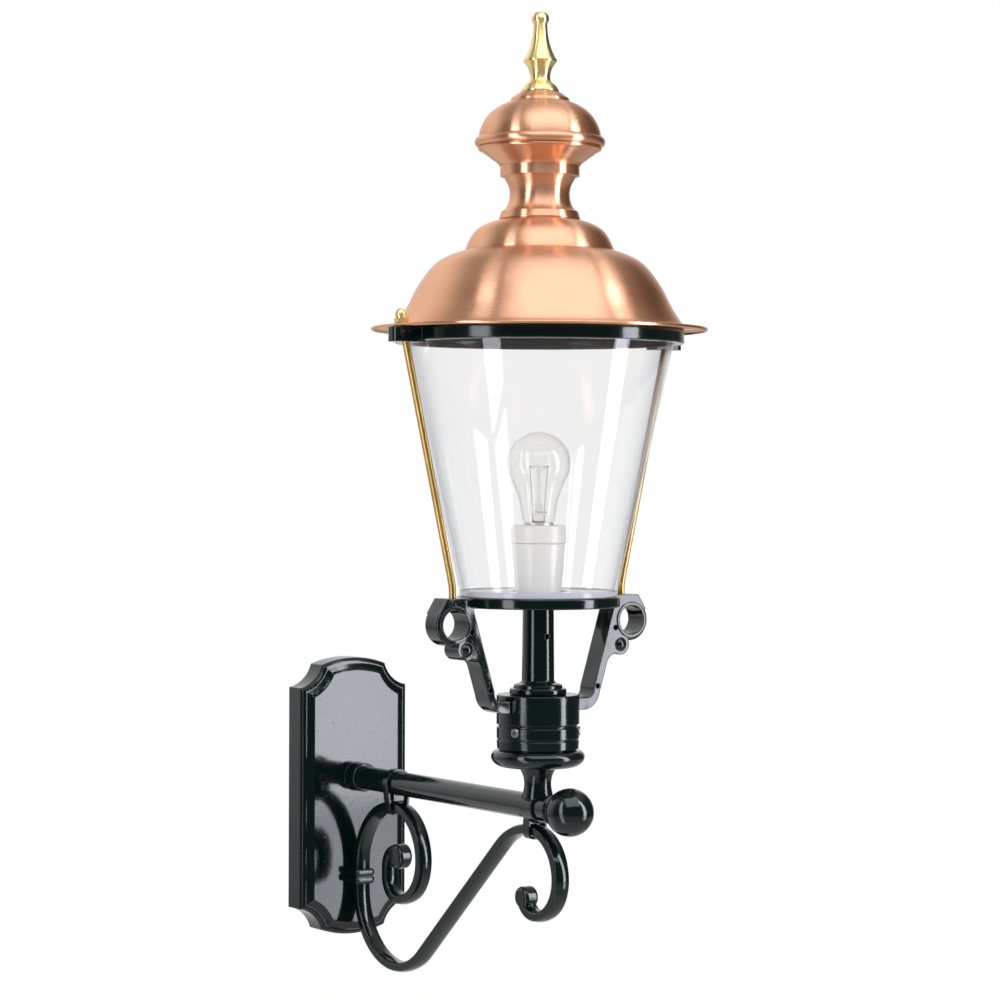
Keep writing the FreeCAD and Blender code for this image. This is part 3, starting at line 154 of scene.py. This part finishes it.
def enamel_finish(name, edge_r, waviness):
    """Glossy powder coat over a sand casting: slow waves, slight ripple, faint grain, specks,
    softened edges."""
    finish, t = new_finish(name)
    place = place_on(t)
    peel = noise(t, place, ENAMEL_PEEL, 1.0)
    grain = noise(t, place, ENAMEL_GRAIN, 2.0)
    cloud = noise(t, place, ENAMEL_CLOUD, 3.0)
    speck = ramped(noise(t, place, ENAMEL_SPECK, 0.0), SPECK_FROM, SPECK_FULL)
    wave = noise(t, place, ENAMEL_WAVE, 1.0)
    edge = t.node("Bevel", {"samples": 6}, {"Radius": edge_r})
    ripple = t.node("Bump", sockets={
        "Strength": RIPPLE_STRENGTH,
        "Distance": RIPPLE_DEPTH,
        "Height": peel + grain * 0.12 + speck * 0.8 + wave * waviness,
        "Normal": edge,
    })
    shader = t.node("BsdfPrincipled", sockets={
        "Base Color": mixed(cloud, ENAMEL_DARK, ENAMEL_LIGHT),
        "Roughness": 0.07 + cloud * 0.08,
        "IOR": 1.5,
        "Normal": ripple,
    })
    shown_by(t, shader)
    return finish


enamel = enamel_finish("green_enamel", ENAMEL_EDGE_R, 0.0)
put_on(enamel, "wall_plate")

# Arm: a straight tube through the plate's boss, the tee cast with its neck, saucer and spigot,
# and a turned ball that plugs the tube's front end. All have the plate's coat.

put_on(enamel, "arm_tube", "bracket_tee", "ball_knob")

# Scroll: flat steel bar bent into an S with a forged eye at each end, in the plate's coat.
# A collar holds it off the plate, and a strap with a packer ties it up to the tube.

COLLAR_EDGE_R = 0.0032     # the collar's beads are cast fully round

put_on(enamel, "scroll", "rear_strap", "strap_packer")
put_on(enamel_finish("rounded_enamel", COLLAR_EDGE_R, 0.0), "scroll_collar")

# Head castings: the socket cup that turns on the spigot, the pair of frog arms, the lamp pipe
# and the ring under the cone, bolted together and coated like the plate.

ARM_WAVINESS = 75.0        # the arms are ground by hand, so their flat sides aren't true

put_on(enamel, "socket_cup", "lamp_pipe", "gallery_ring")
arm_enamel = enamel_finish("cast_enamel", ENAMEL_EDGE_R, ARM_WAVINESS)
put_on(arm_enamel, "right_frog_arm", "left_frog_arm")

# Steel fasteners: three hexagon-socket screws lock the cup, two cap screws hold the arms' feet,
# a flat nut clamps the pipe, and a stud with its nut draws the hood together. Bright stainless.

STEEL_COLOUR = (0.58, 0.58, 0.60)
STEEL_DULL = (0.36, 0.36, 0.38)
STEEL_FILM = 160.0         # dull patches, per metre
STEEL_MARKS = 2400.0       # machining marks, per metre


def steel_finish():
    """Bright stainless steel with fine machining marks."""
    finish, t = new_finish("stainless_steel")
    place = place_on(t)
    marks = noise(t, place, STEEL_MARKS, 2.0)
    film = noise(t, place, STEEL_FILM, 2.0)
    groove = t.node("Bump", sockets={"Strength": 0.15, "Distance": 0.0001, "Height": marks})
    shader = t.node("BsdfPrincipled", sockets={
        "Base Color": mixed(film, STEEL_COLOUR, STEEL_DULL),
        "Metallic": 1.0,
        "Roughness": 0.20 + film * 0.18,
        "Normal": groove,
    })
    shown_by(t, shader)
    return finish


put_on(steel_finish(), "set_screws", "arm_screws", "pipe_nut", "hood_stud", "hood_nut")

# Clear cone: one moulding of clear plastic with a thick floor, standing on the gallery ring.
# Its skin shows faint flow lines, it looks bluish along its edges, and its floor is cloudy.

CLEAR_FACE = (0.986, 0.986, 0.987)
CLEAR_THICK = (0.80, 0.81, 0.88)
CLEAR_GLOSS = 0.9
CLEAR_FLOW = 34.0          # flow lines, per metre
CLEAR_RIPPLE = 0.0006      # their depth
CLOUDY_FLOOR = (0.62, 0.63, 0.73)
CLOUDY_SHARE = 0.7
FLOOR_THICK = 0.005
FLOOR_EDGE = 0.0006        # height over which the cloudy floor ends


def clear_finish(name, face, thick, gloss, ripple_depth, floor_z=None):
    """Clear glass or plastic: tinted where the sight line is long in it, glossy towards its edges,
    and cloudy below a floor's top, if it has one."""
    finish, t = new_finish(name)
    place = place_on(t)
    flow = noise(t, place, CLEAR_FLOW, 2.0)
    skin = t.node("Bump", sockets={"Strength": 0.10, "Distance": ripple_depth, "Height": flow})
    facing = t.node("LayerWeight", sockets={"Blend": 0.5, "Normal": skin}, out="Facing")
    clear = t.node("BsdfTransparent", sockets={"Color": (*face, 1.0)})
    tinted = t.node("BsdfTransparent", sockets={"Color": (*thick, 1.0)})
    through = t.node("MixShader", sockets={0: facing ** 4.0 * 0.5, 1: clear, 2: tinted})
    if floor_z is not None:
        height = t.node("SeparateXYZ", sockets={0: place}, out="Z")
        floor = ramped(height, floor_z, floor_z + FLOOR_EDGE, CLOUDY_SHARE, 0.0)
        cloudy = t.node("BsdfDiffuse", sockets={"Color": (*CLOUDY_FLOOR, 1.0)})
        through = t.node("MixShader", sockets={0: floor, 1: through, 2: cloudy})
    surface = t.node("BsdfGlossy", sockets={
        "Color": (1.0, 1.0, 1.0, 1.0),
        "Roughness": 0.03,
        "Normal": skin,
    })
    shine = (0.035 + facing ** 5.0 * 0.965) * gloss
    shown_by(t, t.node("MixShader", sockets={0: shine, 1: through, 2: surface}))
    return finish


cone_floor_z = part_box("glass_cone")[0][2] + FLOOR_THICK
clear_plastic = clear_finish(
    "clear_plastic", CLEAR_FACE, CLEAR_THICK, CLEAR_GLOSS, CLEAR_RIPPLE, cone_floor_z
)
put_on(clear_plastic, "glass_cone")

# Lampholder: a glazed porcelain body with a screwed ring on top, standing on the pipe's nut.
# A brass screw shell sits inside it.

GLAZE_WHITE = (0.84, 0.84, 0.835)
GLAZE_CREAM = (0.80, 0.795, 0.775)
GLAZE_CLOUD = 60.0         # warm patches, per metre
GLAZE_WAVE = 190.0         # waves of the glaze, per metre


def porcelain_finish():
    """White porcelain under a clear glaze, with faint warm clouds."""
    finish, t = new_finish("porcelain")
    place = place_on(t)
    cloud = noise(t, place, GLAZE_CLOUD, 3.0)
    wave = noise(t, place, GLAZE_WAVE, 1.0)
    glaze = t.node("Bump", sockets={"Strength": 0.10, "Distance": 0.0004, "Height": wave})
    shader = t.node("BsdfPrincipled", sockets={
        "Base Color": mixed(cloud, GLAZE_WHITE, GLAZE_CREAM),
        "Roughness": 0.32 + cloud * 0.10,
        "Coat Weight": 0.12,
        "Coat Roughness": 0.12,
        "Normal": glaze,
    })
    shown_by(t, shader)
    return finish


put_on(porcelain_finish(), "lampholder_body", "lampholder_collar")

# Brass trim: the holder's shell, the acorn nuts and the finial, turned and polished,
# and the two drawn tie rods from the frog arms to the hood, left as drawn. The rods are the same
# brass, and their darker colour is painted shade.

AXIS_Y = -0.343            # the lantern's own axis
BRASS_LIGHT = (0.90, 0.73, 0.36)
BRASS_DEEP = (0.78, 0.58, 0.24)
# the rods' colours: the same brass darkened, as painted shade
SHADED_ROD_LIGHT = (0.64, 0.44, 0.16)
SHADED_ROD_DEEP = (0.50, 0.30, 0.085)
METAL_RINGS = 1900.0       # tool marks, per metre
METAL_FILM = 75.0          # tarnish, per metre
ALONG = 0.25               # highlights run along the piece, as on turned work
ACROSS = 0.0               # highlights run round the piece, as on drawn work


def turned_rings(t, place, scale):
    """Fine rings round the lantern's axis, as a lathe leaves them."""
    x, y, z = (t.node("SeparateXYZ", sockets={0: place}, out=axis) for axis in "XYZ")
    away = y - AXIS_Y
    radius = (x * x + away * away) ** 0.5
    rings = t.node("CombineXYZ", sockets={0: radius, 1: x * 0.03, 2: z})
    return noise(t, rings, scale, 2.0)


def worked_metal(name, light, deep, dull, stretch, run):
    """Bare metal with fine tool marks, which stretch its highlights, and a light tarnish."""
    finish, t = new_finish(name)
    place = place_on(t)
    rings = turned_rings(t, place, METAL_RINGS)
    film = noise(t, place, METAL_FILM, 3.0)
    groove = t.node("Bump", sockets={"Strength": 0.12, "Distance": 0.0001, "Height": rings})
    shader = t.node("BsdfPrincipled", sockets={
        "Base Color": mixed(film, light, deep),
        "Metallic": 1.0,
        "Roughness": dull + film * 0.08 + rings * 0.04,
        "Anisotropic": stretch,
        "Anisotropic Rotation": run,
        "Normal": groove,
    })
    shown_by(t, shader)
    return finish


polished = worked_metal("polished_brass", BRASS_LIGHT, BRASS_DEEP, 0.24, 0.95, ALONG)
put_on(polished, "lampholder_shell", "cap_nuts", "finial")
drawn = worked_metal("drawn_brass_painted_shade", SHADED_ROD_LIGHT, SHADED_ROD_DEEP, 0.26, 0.6, ACROSS)
put_on(drawn, "right_tie_rod", "left_tie_rod")

# Bulb: a clear blown envelope on a screw cap, with a glass stem that carries the leads.
# The lead wires hold the filament, a fine coil bent round the stem's button.

BULB_FACE = (0.990, 0.990, 0.986)
BULB_THICK = (0.88, 0.88, 0.87)
BULB_GLOSS = 0.55
BULB_RIPPLE = 0.0002

put_on(clear_finish("bulb_glass", BULB_FACE, BULB_THICK, BULB_GLOSS, BULB_RIPPLE), "bulb_glass")

STEM_LIGHT = (0.93, 0.925, 0.91)
STEM_DEEP = (0.84, 0.83, 0.81)
STEM_STREAKS = 300.0       # per metre


def stem_finish():
    """Solid pressed glass with faint streaks."""
    finish, t = new_finish("stem_glass")
    streak = noise(t, place_on(t), STEM_STREAKS, 2.0)
    shader = t.node("BsdfPrincipled", sockets={
        "Base Color": mixed(streak, STEM_LIGHT, STEM_DEEP),
        "Roughness": 0.03 + streak * 0.05,
        "Transmission Weight": 1.0,
        "IOR": 1.2,
    })
    shown_by(t, shader)
    return finish


put_on(stem_finish(), "bulb_stem")

CAP_LIGHT = (0.90, 0.89, 0.87)
CAP_DEEP = (0.80, 0.79, 0.76)

put_on(worked_metal("cap_aluminium", CAP_LIGHT, CAP_DEEP, 0.45, 0.5, ALONG), "bulb_cap")

WIRE_COLOUR = (0.56, 0.52, 0.46)
WIRE_DARK = (0.30, 0.27, 0.24)
WIRE_SPOTS = 900.0         # warm spots, per metre
LEAD_R = 0.00032
LEAD_FOOT = 0.0060         # leads at the cap, from the bulb's axis
LEAD_SPREAD = 0.0004       # how far they spread up to the filament's lower end
LEAD_TIP = 0.0098          # leads at the filament, from the bulb's axis
LEAD_SINK = 0.001          # leads' feet above the stem's foot
TIP_DROP = 0.0014          # leads' tips below the filament's upper end
TIE_HEIGHT = 0.0117        # crimped tie wire between the leads, above the holder's ring
TIE_AHEAD = 0.0042         # in front of the stem
TIE_WAVE = 0.0009
TIE_HALF_WAVES = 6
TIE_STEPS = 32
HANGER_R = 0.00016
HANGER_FOOT = 0.0016       # hangers' feet in the button, from the bulb's axis
HANGER_AHEAD = 0.0012
BUTTON_DROP = 0.0022       # hangers' feet below the button's top
COIL_R = 0.00030
COIL_WIRE_R = 0.00008
COIL_TURNS = 46
COIL_STEPS = 10            # points a turn
COIL_SAG = 0.0070          # how far the filament bows round the button


def wire_finish():
    """Drawn wire, dull grey with warm spots."""
    finish, t = new_finish("lamp_wire")
    spots = noise(t, place_on(t), WIRE_SPOTS, 2.0)
    shader = t.node("BsdfPrincipled", sockets={
        "Base Color": mixed(spots, WIRE_COLOUR, WIRE_DARK),
        "Metallic": 1.0,
        "Roughness": 0.30 + spots * 0.2,
    })
    shown_by(t, shader)
    return finish


def drawn_wire(shape, path, radius, sides):
    """Adds one round wire along a path of points."""
    across = (path[1] - path[0]).orthogonal()
    rings = []
    for i, point in enumerate(path):
        ahead = (path[min(i + 1, len(path) - 1)] - path[max(i - 1, 0)]).normalized()
        across = (across - ahead * across.dot(ahead)).normalized()
        beside = ahead.cross(across)
        ring = []
        for k in range(sides):
            angle = 2.0 * math.pi * k / sides
            out = across * math.cos(angle) + beside * math.sin(angle)
            ring.append(shape.verts.new(point + radius * out))
        rings.append(ring)
    for low, high in zip(rings, rings[1:]):
        for k in range(sides):
            n = (k + 1) % sides
            shape.faces.new((low[k], low[n], high[n], high[k]))
    shape.faces.new(rings[0][::-1])
    shape.faces.new(rings[-1])


def lamp_wires(finish):
    """Two leads with hooked tips and a crimped tie, two fine hangers, and the coil."""
    low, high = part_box("filament")
    stem_low, stem_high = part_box("bulb_stem")
    tip_z = high[2] - TIP_DROP
    button_z = stem_high[2] - BUTTON_DROP
    cap_z = stem_low[2] + LEAD_SINK
    tie_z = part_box("lampholder_collar")[1][2] + TIE_HEIGHT
    axis = Vector((0.0, AXIS_Y, 0.0))
    up = Vector((0.0, 0.0, 1.0))
    shape = bmesh.new()
    for side in (-1.0, 1.0):
        foot = axis + Vector((side * LEAD_FOOT, 0.0, cap_z))
        knee = axis + Vector((side * (LEAD_FOOT + LEAD_SPREAD), 0.0, low[2]))
        tip = axis + Vector((side * LEAD_TIP, 0.0, tip_z))
        bend = tip + Vector((0.0, -0.0007, 0.0007))
        hook = tip + Vector((-side * 0.0004, -0.0012, 0.0006))
        drawn_wire(shape, [foot, knee, tip, bend, hook], LEAD_R, 8)
        root = axis + Vector((side * HANGER_FOOT, -HANGER_AHEAD, button_z))
        loop = axis + Vector((side * LEAD_TIP * 0.42, -COIL_SAG * 0.82, tip_z + 0.0002))
        drawn_wire(shape, [root, loop], HANGER_R, 6)
    tie = []
    for i in range(TIE_STEPS + 1):
        share = i / TIE_STEPS
        wave = TIE_WAVE * math.sin(TIE_HALF_WAVES * math.pi * share)
        tie.append(axis + Vector((LEAD_FOOT * (2.0 * share - 1.0), -TIE_AHEAD, tie_z + wave)))
    drawn_wire(shape, tie, LEAD_R, 6)
    steps = COIL_TURNS * COIL_STEPS
    coil = []
    for i in range(steps + 1):
        swing = math.pi * i / steps
        turn = 2.0 * math.pi * COIL_TURNS * i / steps
        out = Vector((-math.cos(swing), -math.sin(swing), 0.0))
        middle = axis + Vector((LEAD_TIP * out.x, COIL_SAG * out.y, tip_z))
        coil.append(middle + COIL_R * (out * math.cos(turn) + up * math.sin(turn)))
    drawn_wire(shape, coil, COIL_WIRE_R, 5)
    mesh = bpy.data.meshes.new("lamp_wires")
    shape.to_mesh(mesh)
    shape.free()
    mesh.shade_smooth()
    mesh.materials.append(finish)
    wires = bpy.data.objects.new("lamp_wires", mesh)
    bpy.context.scene.collection.objects.link(wires)
    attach(wires, "head")
    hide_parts("filament")


wire = wire_finish()
lamp_wires(wire)
put_on(wire, "filament")

# Top ring: a cast ring on the cone's edge with a lug for each tie rod, coated like the plate.
# The hood's flange lies on it, and the rods pass through both.

put_on(enamel, "top_ring")

# Hood: four pieces spun from copper sheet and stacked on a stud: dome, neck, crown bowl and lid.
# The copper is brushed on the lathe, so fine rings run round it, and left bare.

COPPER_LIGHT = (0.80, 0.48, 0.312)
COPPER_DEEP = (0.68, 0.372, 0.222)
COPPER_RIM = (0.97, 0.86, 0.79)
SATIN_LIGHT = (0.64, 0.225, 0.095)
SATIN_DEEP = (0.54, 0.165, 0.06)
SATIN_SHARE = 0.17         # how much of the surface the brush left dull
COPPER_BLOOM = 14.0        # patches, per metre
BROAD_RINGS = 420.0        # brush marks, per metre
FINE_RINGS = 2600.0


def copper_finish():
    """Brushed copper: rings round the axis that break up the light, and a faint bloom."""
    finish, t = new_finish("brushed_copper")
    place = place_on(t)
    fine = turned_rings(t, place, FINE_RINGS)
    broad = turned_rings(t, place, BROAD_RINGS)
    bloom = noise(t, place, COPPER_BLOOM, 3.0)
    groove = t.node("Bump", sockets={"Strength": 0.20, "Distance": 0.0001, "Height": fine + broad})
    cloud = bloom * 0.6 + broad * 0.2 + fine * 0.2
    brushed = t.node("BsdfPrincipled", sockets={
        "Base Color": mixed(cloud, COPPER_LIGHT, COPPER_DEEP),
        "Metallic": 1.0,
        "Roughness": 0.23 + fine * 0.06 + bloom * 0.05,
        "Anisotropic": 1.0,
        "Anisotropic Rotation": ALONG,
        "Specular Tint": (*COPPER_RIM, 1.0),
        "Normal": groove,
    })
    satin = t.node("BsdfPrincipled", sockets={
        "Base Color": mixed(cloud, SATIN_LIGHT, SATIN_DEEP),
        "Metallic": 1.0,
        "Roughness": 0.48 + bloom * 0.06,
        "Specular Tint": (*COPPER_RIM, 1.0),
        "Normal": groove,
    })
    shown_by(t, t.node("MixShader", sockets={0: SATIN_SHARE, 1: brushed, 2: satin}))
    return finish


put_on(copper_finish(), "hood_dome", "hood_neck", "crown_bowl", "crown_lid")

# Studio: a round pale floor well under the lantern, a white wall behind it, a dark room in front,
# and flat soft lamps: a tall one with a dimmer foot at each side, and a wide one above.

FLOOR_Z = -0.95
FLOOR_R = 1.15
FLOOR_GLOSS = 0.20         # how bright polished pieces see it
WHITE = (1.0, 1.0, 1.0, 1.0)


def rays(tone, kind):
    """1 for rays of one kind, as the light path names them, and 0 for the others."""
    return tone.node("LightPath", out=kind)


def studio_floor():
    """Pale round floor that takes the lantern's shadow and fades to white at its rim."""
    mesh = bpy.data.meshes.new("floor")
    shape = bmesh.new()
    bmesh.ops.create_circle(shape, cap_ends=True, segments=96, radius=FLOOR_R)
    shape.to_mesh(mesh)
    shape.free()
    floor = bpy.data.objects.new("floor", mesh)
    floor.location = (0.0, AXIS_Y, FLOOR_Z)
    bpy.context.scene.collection.objects.link(floor)
    finish, t = new_finish("floor_paper")
    away = t.node("VectorMath", {"operation": "LENGTH"}, {0: place_on(t)}, out="Value")
    fade = ramped(away, 0.5 * FLOOR_R, FLOOR_R, 0.6, 1.0)
    paper = t.node("BsdfDiffuse", sockets={"Color": (0.80, 0.80, 0.80, 1.0)})
    white = t.node("Emission", sockets={"Color": WHITE, "Strength": 1.0})
    seen = rays(t, "Is Camera Ray") + rays(t, "Is Transmission Ray")
    direct = t.math("MINIMUM", seen + rays(t, "Is Glossy Ray") * FLOOR_GLOSS, 1.0)
    shown_by(t, t.node("MixShader", sockets={0: direct * fade, 1: paper, 2: white}))
    mesh.materials.append(finish)


studio_floor()

SURROUND = 0.58            # level of the surround for soft light
WALL_WAY = (0.0, 1.0, 0.0)
WALL_LEVEL = 0.72
WALL_RISE = 1.0            # how much brighter the wall is higher up
ROOM_LEVEL = 0.07
CEILING_LEVEL = 0.45
GROUND_LEVEL = 0.40        # floor beyond the round of paper, and what the wall adds to it
GROUND_WALL = 0.45


def studio_surround():
    """White behind, as the camera sees it; polished pieces see the wall, the dark room and the
    ceiling."""
    world = bpy.data.worlds.new("surround")
    bpy.context.scene.world = world
    world.use_nodes = True
    world.node_tree.nodes.clear()
    t = Tone(world.node_tree)
    way = t.node("TexCoord", out="Generated")
    rise = t.node("SeparateXYZ", sockets={0: way}, out="Z")
    level_part = t.math("MAXIMUM", 1.0 - rise * rise, 0.01) ** 0.5
    along = t.node("VectorMath", {"operation": "DOT_PRODUCT"}, {0: way, 1: WALL_WAY}, out="Value")
    wall = ramped(along / level_part, 0.37, 0.74)
    high = ramped(rise, 0.50, 0.75)
    under = ramped(rise, -0.08, -0.28)
    low = ramped(rise, -0.15, -0.32)
    tall = wall * (WALL_LEVEL + rise * WALL_RISE) * (1.0 - under) * (1.0 - high)
    ground = low * (GROUND_LEVEL + wall * GROUND_WALL)
    room = ROOM_LEVEL + tall + high * CEILING_LEVEL + ground
    gloss = rays(t, "Is Glossy Ray")
    direct = t.math("MINIMUM", rays(t, "Is Camera Ray") + rays(t, "Is Transmission Ray"), 1.0)
    other = gloss * room + (1.0 - gloss) * SURROUND
    level = direct + (1.0 - direct) * other
    sky = t.node("Background", sockets={"Color": WHITE, "Strength": level})
    t.node("OutputWorld", sockets={"Surface": sky})


studio_surround()

SHINE_COLOUR = (0.90, 0.925, 1.0)
LIGHT_COLOUR = (0.97, 0.96, 0.94)
SHINE_AHEAD = 0.01         # the lamp seen in reflections stands in front of the one that lights
TOP_AIM = 0.70             # the top lamp looks down at this height, the tall lamps look level


def soft_lamp(name, turn_deg, distance, height, size, lean_deg, light, shine):
    """A flat soft lamp that faces the lantern, with its level on surfaces and its level in
    reflections. The turn is from the front towards +X, and the lean is sideways."""
    turn = math.radians(turn_deg)
    spot = Vector((math.sin(turn) * distance, AXIS_Y - math.cos(turn) * distance, height))
    aim = Vector((0.0, AXIS_Y, min(height, TOP_AIM))) - spot
    turned = aim.to_track_quat("-Z", "Y").to_matrix().to_4x4()
    turned = turned @ Matrix.Rotation(math.radians(lean_deg), 4, "Z")
    uses = (("light", light, LIGHT_COLOUR, 0.0), ("shine", shine, SHINE_COLOUR, SHINE_AHEAD))
    for use, level, colour, ahead in uses:
        lamp = bpy.data.lights.new(f"{name}_{use}", "AREA")
        lamp.shape = "RECTANGLE"
        lamp.size, lamp.size_y = size
        lamp.energy = level * math.pi * size[0] * size[1]
        lamp.color = colour
        holder = bpy.data.objects.new(lamp.name, lamp)
        holder.visible_camera = False
        holder.visible_glossy = use == "shine"
        holder.visible_diffuse = use == "light"
        holder.matrix_world = Matrix.Translation(spot + aim.normalized() * ahead) @ turned
        bpy.context.scene.collection.objects.link(holder)


soft_lamp("left_lamp", -80.0, 1.0, 0.60, (0.26, 1.24), 9.0, 5.0, 5.4)
soft_lamp("left_foot", -70.1, 1.0, -0.46, (0.26, 0.86), 9.0, 1.1, 3.4)
soft_lamp("right_lamp", 37.0, 0.976, 0.475, (0.24, 1.29), 6.0, 5.4, 11.0)
soft_lamp("right_foot", 41.6, 0.976, -0.31, (0.24, 0.26), 6.0, 3.0, 5.8)
soft_lamp("top_lamp", -14.0, 1.45, 2.5, (3.3, 2.6), 0.0, 1.0, 2.5)

# Camera: level, a long lens from the front left, as the catalogue view is taken.

VIEW_TURN = math.radians(34.0)
VIEW_ROLL = math.radians(-0.2)
TOWARDS_CAMERA = Vector((-math.sin(VIEW_TURN), -math.cos(VIEW_TURN), 0.0))
TO_ITS_RIGHT = Vector((math.cos(VIEW_TURN), -math.sin(VIEW_TURN), 0.0))
SENSOR = 36.0
FOCAL = 2.924 * SENSOR
LENS_SHIFT = -0.03
CAMERA_AWAY = 2.632
CAMERA_SIDE = 0.0349
CAMERA_HEIGHT = 0.3033

lens = bpy.data.cameras.new("camera")
lens.lens = FOCAL
lens.sensor_width = SENSOR
lens.shift_y = LENS_SHIFT
camera = bpy.data.objects.new("camera", lens)
aim_point = Vector((0.0, AXIS_Y, CAMERA_HEIGHT)) - TO_ITS_RIGHT * CAMERA_SIDE
camera.location = aim_point + TOWARDS_CAMERA * CAMERA_AWAY
camera.rotation_euler = (math.radians(90.0), VIEW_ROLL, -VIEW_TURN)
bpy.context.scene.collection.objects.link(camera)
bpy.context.scene.camera = camera
bpy.context.scene.view_settings.view_transform = "Standard"
